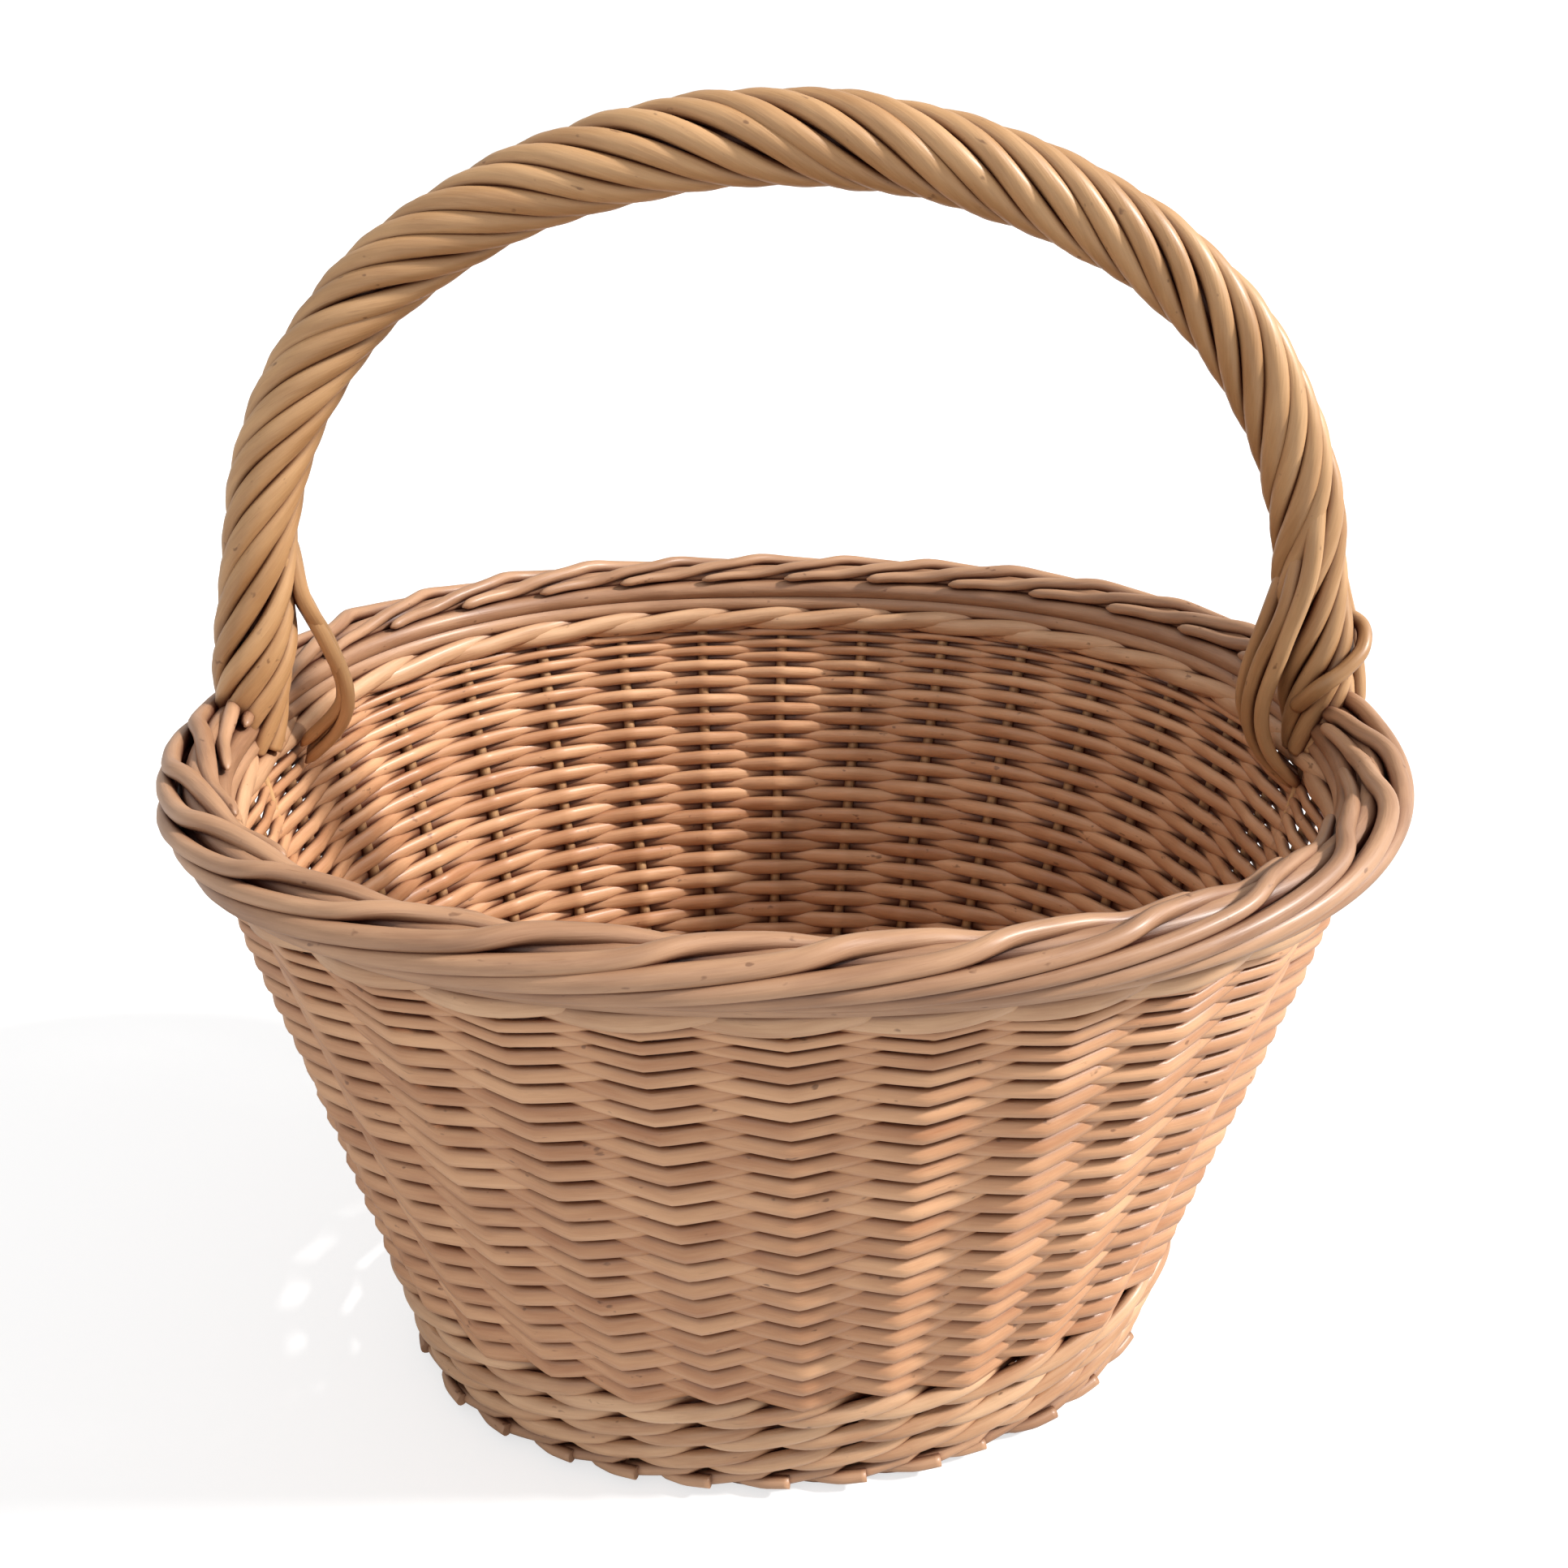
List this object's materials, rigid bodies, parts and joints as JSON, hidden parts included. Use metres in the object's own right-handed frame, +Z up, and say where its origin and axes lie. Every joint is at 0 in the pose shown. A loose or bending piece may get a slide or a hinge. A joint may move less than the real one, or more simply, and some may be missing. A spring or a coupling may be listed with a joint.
{
  "type": "woven wicker basket",
  "caption": "Oval woven willow shopping basket with a flared side, a thick rolled rim and a fixed roped arch handle.",
  "frame": {"origin": "middle of the foot, on the ground plane", "axes": "+Z up out of the mouth, +X along the long way of the oval, in the handle's plane, +Y across the handle"},
  "size_m": [0.4222, 0.3734, 0.475],
  "materials": {
    "base_sticks": "stripped willow sticks",
    "base_weave": "thin buff willow rods",
    "bow": "stout stripped stick, unvarnished inside the roping",
    "foot_border": "buff willow rods, cut ends showing, a little darker at the ground",
    "rim_border": "thick buff willow rods, satin varnish, worn on top",
    "roping": "thick buff willow rods, satin varnish, fine cracks along the twist",
    "side_weave": "thin buff willow rods, satin varnish, small knots",
    "stakes": "peeled buff willow, clear varnish",
    "wale": "thin buff willow rods, satin varnish"
  },
  "bodies": {
    "root": {"base_cross_sticks": "base_sticks", "base_long_sticks": "base_sticks", "base_weave": "base_weave", "foot_border": "foot_border", "foot_wale_round_1": "wale", "foot_wale_round_2": "wale", "foot_wale_round_3": "wale", "handle_bow": "bow", "handle_roping": "roping", "handle_ties_left": "roping", "handle_ties_right": "roping", "rim_border": "rim_border", "side_stakes": "stakes", "side_weave_set_1": "side_weave", "side_weave_set_2": "side_weave", "side_weave_set_3": "side_weave", "side_weave_set_4": "side_weave", "top_wale": "wale"}
  },
  "joints": []
}
